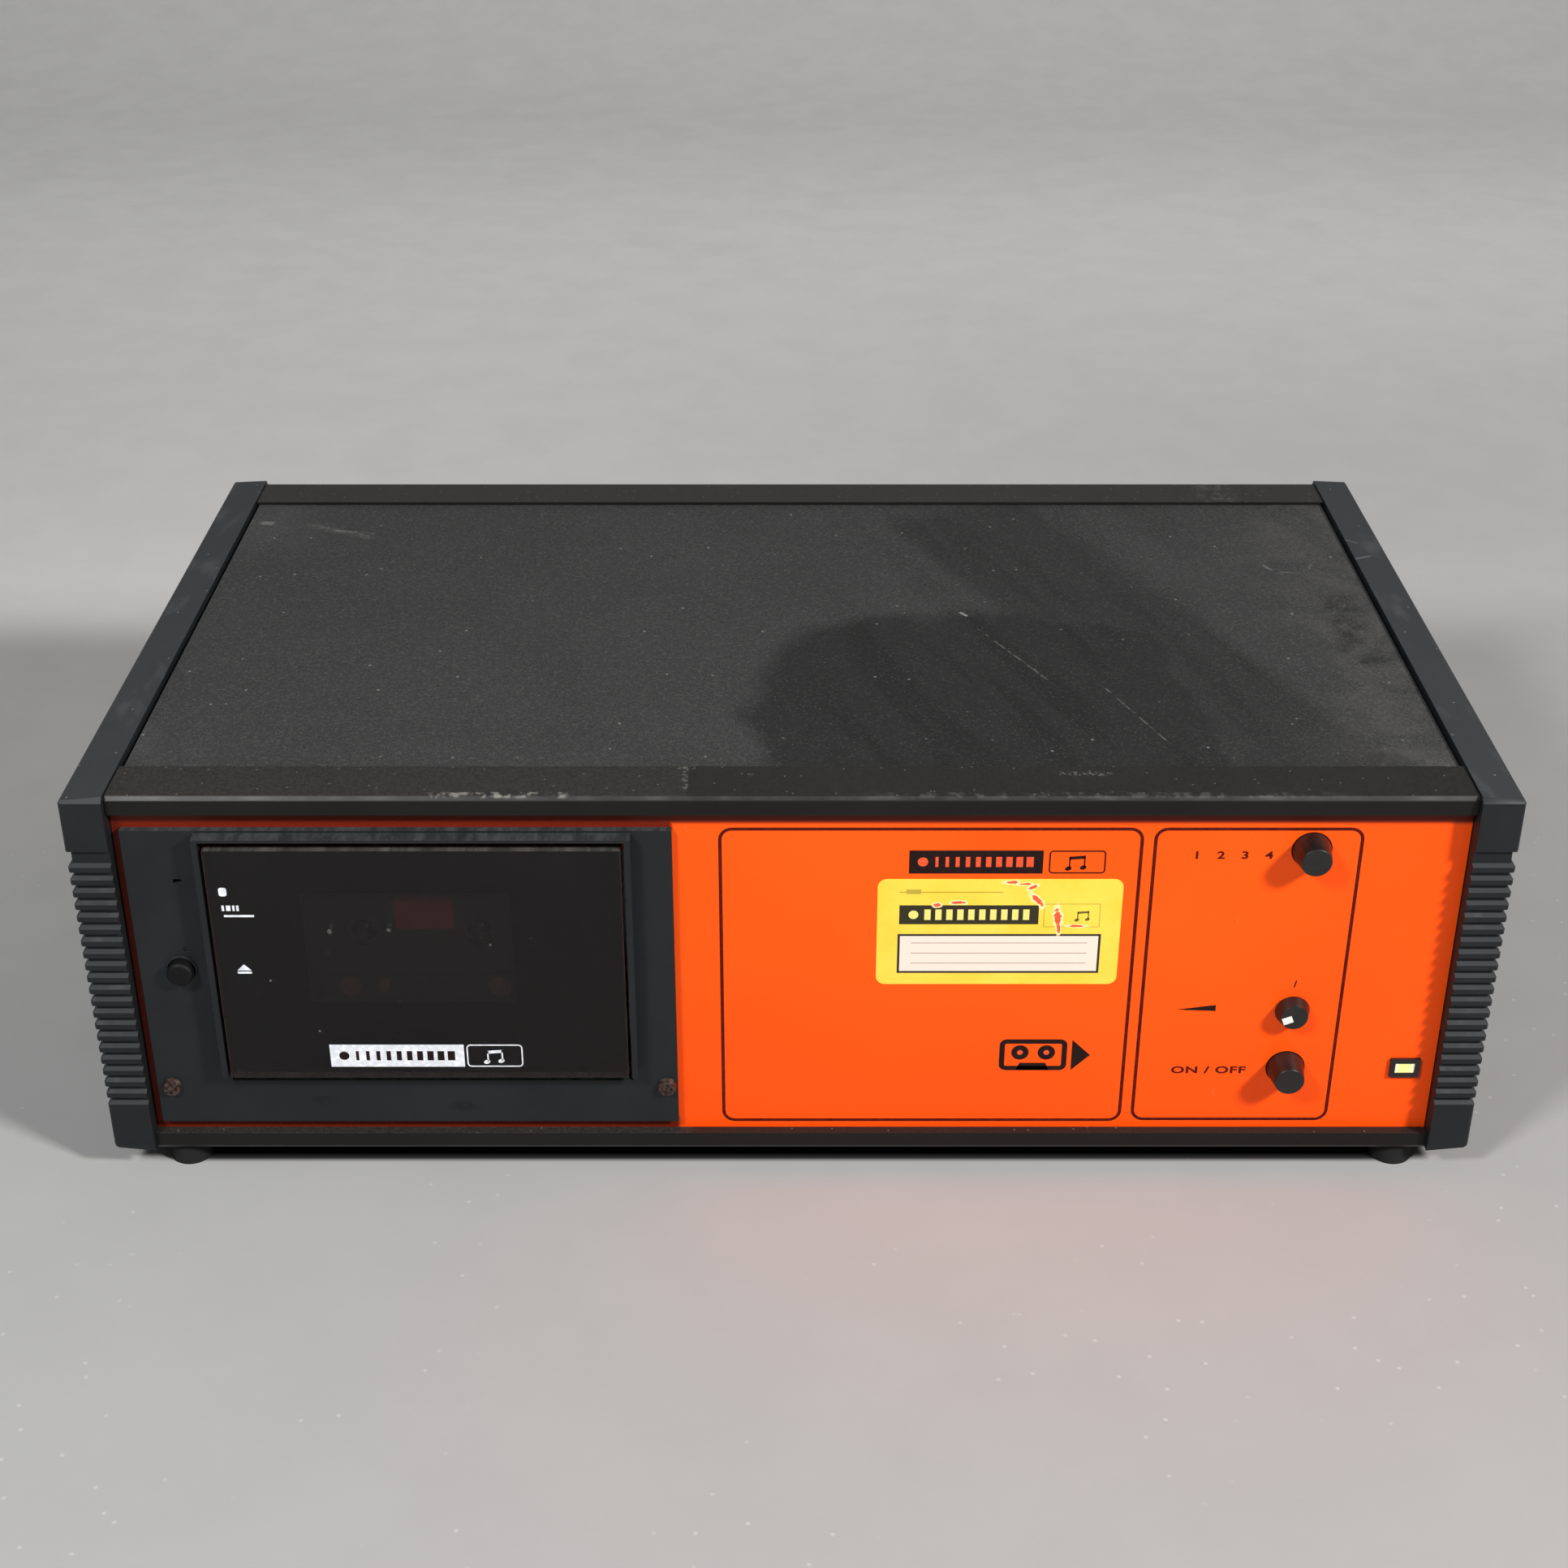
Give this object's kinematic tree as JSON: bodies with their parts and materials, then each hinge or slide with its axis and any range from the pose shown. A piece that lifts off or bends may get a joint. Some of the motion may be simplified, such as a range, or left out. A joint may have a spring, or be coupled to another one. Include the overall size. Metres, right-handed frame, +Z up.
{
  "type": "tape player amplifier",
  "caption": "Table-top cassette player with built-in amplifier: ribbed side cheeks, orange front, smoked cassette door, push buttons, volume knob and lamp.",
  "frame": {"origin": "centre of the bounding box on the surface the feet stand on", "axes": "+X to the right along the case's width, seen from the front, +Y from the front panel to the rear, +Z up"},
  "size_m": [0.52, 0.311, 0.166],
  "materials": {
    "cheek_plastic": "moulded blue-black, lightly worn",
    "rail_paint": "black paint on aluminium, worn edges",
    "screw_steel": "zinc plated",
    "bezel_screw": "dull bronzed black",
    "cover_vinyl": "fine leather-grain vinyl on steel",
    "orange_paint": "satin orange enamel",
    "rear_paint": "satin black",
    "foot_rubber": "matt",
    "bezel_plastic": "moulded blue-black",
    "zinc_steel": "zinc plated sheet",
    "bronze": "sintered bronze",
    "motor_can": "plated can",
    "belt_rubber": "matt",
    "spring_wire": "spring wire",
    "switch_plastic": "moulded",
    "pot_metal": "plated",
    "lamp_black": "moulded",
    "lamp_lens": "translucent pale yellow",
    "board_green": "solder resist",
    "iron_core": "varnished laminations, taped coil",
    "can_blue": "sleeved can",
    "sink_aluminium": "mill finish",
    "device_metal": "nickel plated",
    "inlet_black": "moulded",
    "socket_metal": "nickel plated",
    "smoked_acrylic": "smoked, polished",
    "holder_plastic": "moulded",
    "cassette_plastic": "moulded",
    "hub_white": "moulded",
    "tape_brown": "wound tape",
    "spindle_black": "moulded",
    "flywheel_zinc": "turned",
    "pulley_brass": "turned",
    "head_metal": "polished",
    "roller_rubber": "ground",
    "button_black": "satin moulded"
  },
  "bodies": {
    "case": {"left_cheek": "cheek_plastic", "right_cheek": "cheek_plastic", "front_top_rail": "rail_paint", "front_bottom_rail": "rail_paint", "rear_top_rail": "rail_paint", "rear_bottom_rail": "rail_paint", "cheek_screws": "screw_steel", "top_cover": "cover_vinyl", "bottom_cover": "cover_vinyl", "front_panel": "orange_paint", "rear_panel": "rear_paint", "rubber_feet": "foot_rubber", "foot_screws": "screw_steel", "deck_bezel": "bezel_plastic", "bezel_screws": "bezel_screw", "deck_chassis": "zinc_steel", "capstan_bearings": "bronze", "deck_motor": "motor_can", "drive_belt": "belt_rubber", "reel_belts": "belt_rubber", "eject_spring": "spring_wire", "track_switch": "switch_plastic", "power_switch": "switch_plastic", "volume_pot": "pot_metal", "lamp_bezel": "lamp_black", "lamp_lens": "lamp_lens", "control_board": "board_green", "mains_transformer": "iron_core", "line_transformer": "iron_core", "amplifier_board": "board_green", "smoothing_capacitors": "can_blue", "heat_sink": "sink_aluminium", "power_transistors": "device_metal", "mains_inlet": "inlet_black", "speaker_terminals": "inlet_black", "input_sockets": "socket_metal"},
    "door": {"door_pane": "smoked_acrylic", "cassette_holder": "holder_plastic", "cassette_front_shell": "cassette_plastic", "cassette_rear_shell": "cassette_plastic"},
    "left_reel": {"left_hub": "hub_white", "left_tape_pack": "tape_brown"},
    "right_reel": {"right_hub": "hub_white", "right_tape_pack": "tape_brown"},
    "left_drive": {"left_spindle": "spindle_black"},
    "right_drive": {"right_spindle": "spindle_black"},
    "left_capstan": {"left_flywheel": "flywheel_zinc"},
    "right_capstan": {"right_flywheel": "flywheel_zinc"},
    "motor_rotor": {"motor_pulley": "pulley_brass"},
    "head_slide": {"head_plate": "zinc_steel", "tape_head": "head_metal"},
    "left_pinch": {"left_pinch_arm": "zinc_steel"},
    "right_pinch": {"right_pinch_arm": "zinc_steel"},
    "left_roller": {"left_pinch_roller": "roller_rubber"},
    "right_roller": {"right_pinch_roller": "roller_rubber"},
    "eject": {"eject_button": "button_black"},
    "track": {"track_button": "button_black"},
    "power": {"power_button": "button_black"},
    "volume": {"volume_knob": "button_black", "volume_shaft": "pot_metal"}
  },
  "joints": [
    {"name": "door_tilt", "type": "hinge", "parent": "case", "child": "door", "pos_m": [-0.1361, -0.14205, 0.0454], "axis": [1, 0, 0], "range_deg": [0, 25]},
    {"name": "right_capstan_spin", "type": "hinge", "parent": "case", "child": "right_capstan", "pos_m": [-0.10845, -0.14185, 0.0829], "axis": [0, 1, 0], "continuous": true},
    {"name": "left_capstan_spin", "type": "hinge", "parent": "case", "child": "left_capstan", "pos_m": [-0.16375, -0.14185, 0.0829], "axis": [0, 1, 0], "continuous": true},
    {"name": "motor_spin", "type": "hinge", "parent": "case", "child": "motor_rotor", "pos_m": [-0.1361, -0.14185, 0.0494], "axis": [0, 1, 0], "continuous": true},
    {"name": "left_drive_spin", "type": "hinge", "parent": "case", "child": "left_drive", "pos_m": [-0.15735, -0.14185, 0.1072], "axis": [0, 1, 0], "continuous": true},
    {"name": "right_drive_spin", "type": "hinge", "parent": "case", "child": "right_drive", "pos_m": [-0.11485, -0.14185, 0.1072], "axis": [0, 1, 0], "continuous": true},
    {"name": "left_reel_spin", "type": "hinge", "parent": "door", "child": "left_reel", "pos_m": [-0.15735, -0.14185, 0.1072], "axis": [0, 1, 0], "continuous": true},
    {"name": "right_reel_spin", "type": "hinge", "parent": "door", "child": "right_reel", "pos_m": [-0.11485, -0.14185, 0.1072], "axis": [0, 1, 0], "continuous": true},
    {"name": "head_rise", "type": "slide", "parent": "case", "child": "head_slide", "axis": [0, 0, 1], "range_m": [0, 0.01]},
    {"name": "left_arm_swing", "type": "hinge", "parent": "case", "child": "left_pinch", "pos_m": [-0.18722, -0.14185, 0.0704], "axis": [0, -1, 0], "range_deg": [0, 24.07]},
    {"name": "right_arm_swing", "type": "hinge", "parent": "case", "child": "right_pinch", "pos_m": [-0.08498, -0.14185, 0.0704], "axis": [0, 1, 0], "range_deg": [0, 24.07]},
    {"name": "left_roller_spin", "type": "hinge", "parent": "left_pinch", "child": "left_roller", "pos_m": [-0.16375, -0.14185, 0.0654], "axis": [0, 1, 0], "continuous": true},
    {"name": "right_roller_spin", "type": "hinge", "parent": "right_pinch", "child": "right_roller", "pos_m": [-0.10845, -0.14185, 0.0654], "axis": [0, 1, 0], "continuous": true},
    {"name": "eject_press", "type": "slide", "parent": "case", "child": "eject", "axis": [0, 1, 0], "range_m": [0, 0.003], "stiffness_N_per_m": 250, "springref_m": -0.002, "deforming": ["eject_spring"]},
    {"name": "track_press", "type": "slide", "parent": "case", "child": "track", "axis": [0, 1, 0], "range_m": [0, 0.003], "stiffness_N_per_m": 250, "springref_m": -0.002},
    {"name": "power_press", "type": "slide", "parent": "case", "child": "power", "axis": [0, 1, 0], "range_m": [0, 0.003], "stiffness_N_per_m": 250, "springref_m": -0.002},
    {"name": "volume_turn", "type": "hinge", "parent": "case", "child": "volume", "pos_m": [0.1877, -0.14565, 0.0716], "axis": [0, 1, 0], "range_deg": [-39, 261]}
  ],
  "couplings": [
    {"joint": "left_capstan_spin", "follows": "right_capstan_spin", "ratio": 1},
    {"joint": "motor_spin", "follows": "right_capstan_spin", "ratio": 4.6},
    {"joint": "left_drive_spin", "follows": "right_capstan_spin", "ratio": 0.55556},
    {"joint": "right_drive_spin", "follows": "right_capstan_spin", "ratio": 0.55556},
    {"joint": "left_reel_spin", "follows": "right_capstan_spin", "ratio": 0.55556},
    {"joint": "right_reel_spin", "follows": "right_capstan_spin", "ratio": 0.55556},
    {"joint": "left_arm_swing", "follows": "head_rise", "rad_per_m": 41.974},
    {"joint": "right_arm_swing", "follows": "head_rise", "rad_per_m": 41.974}
  ]
}
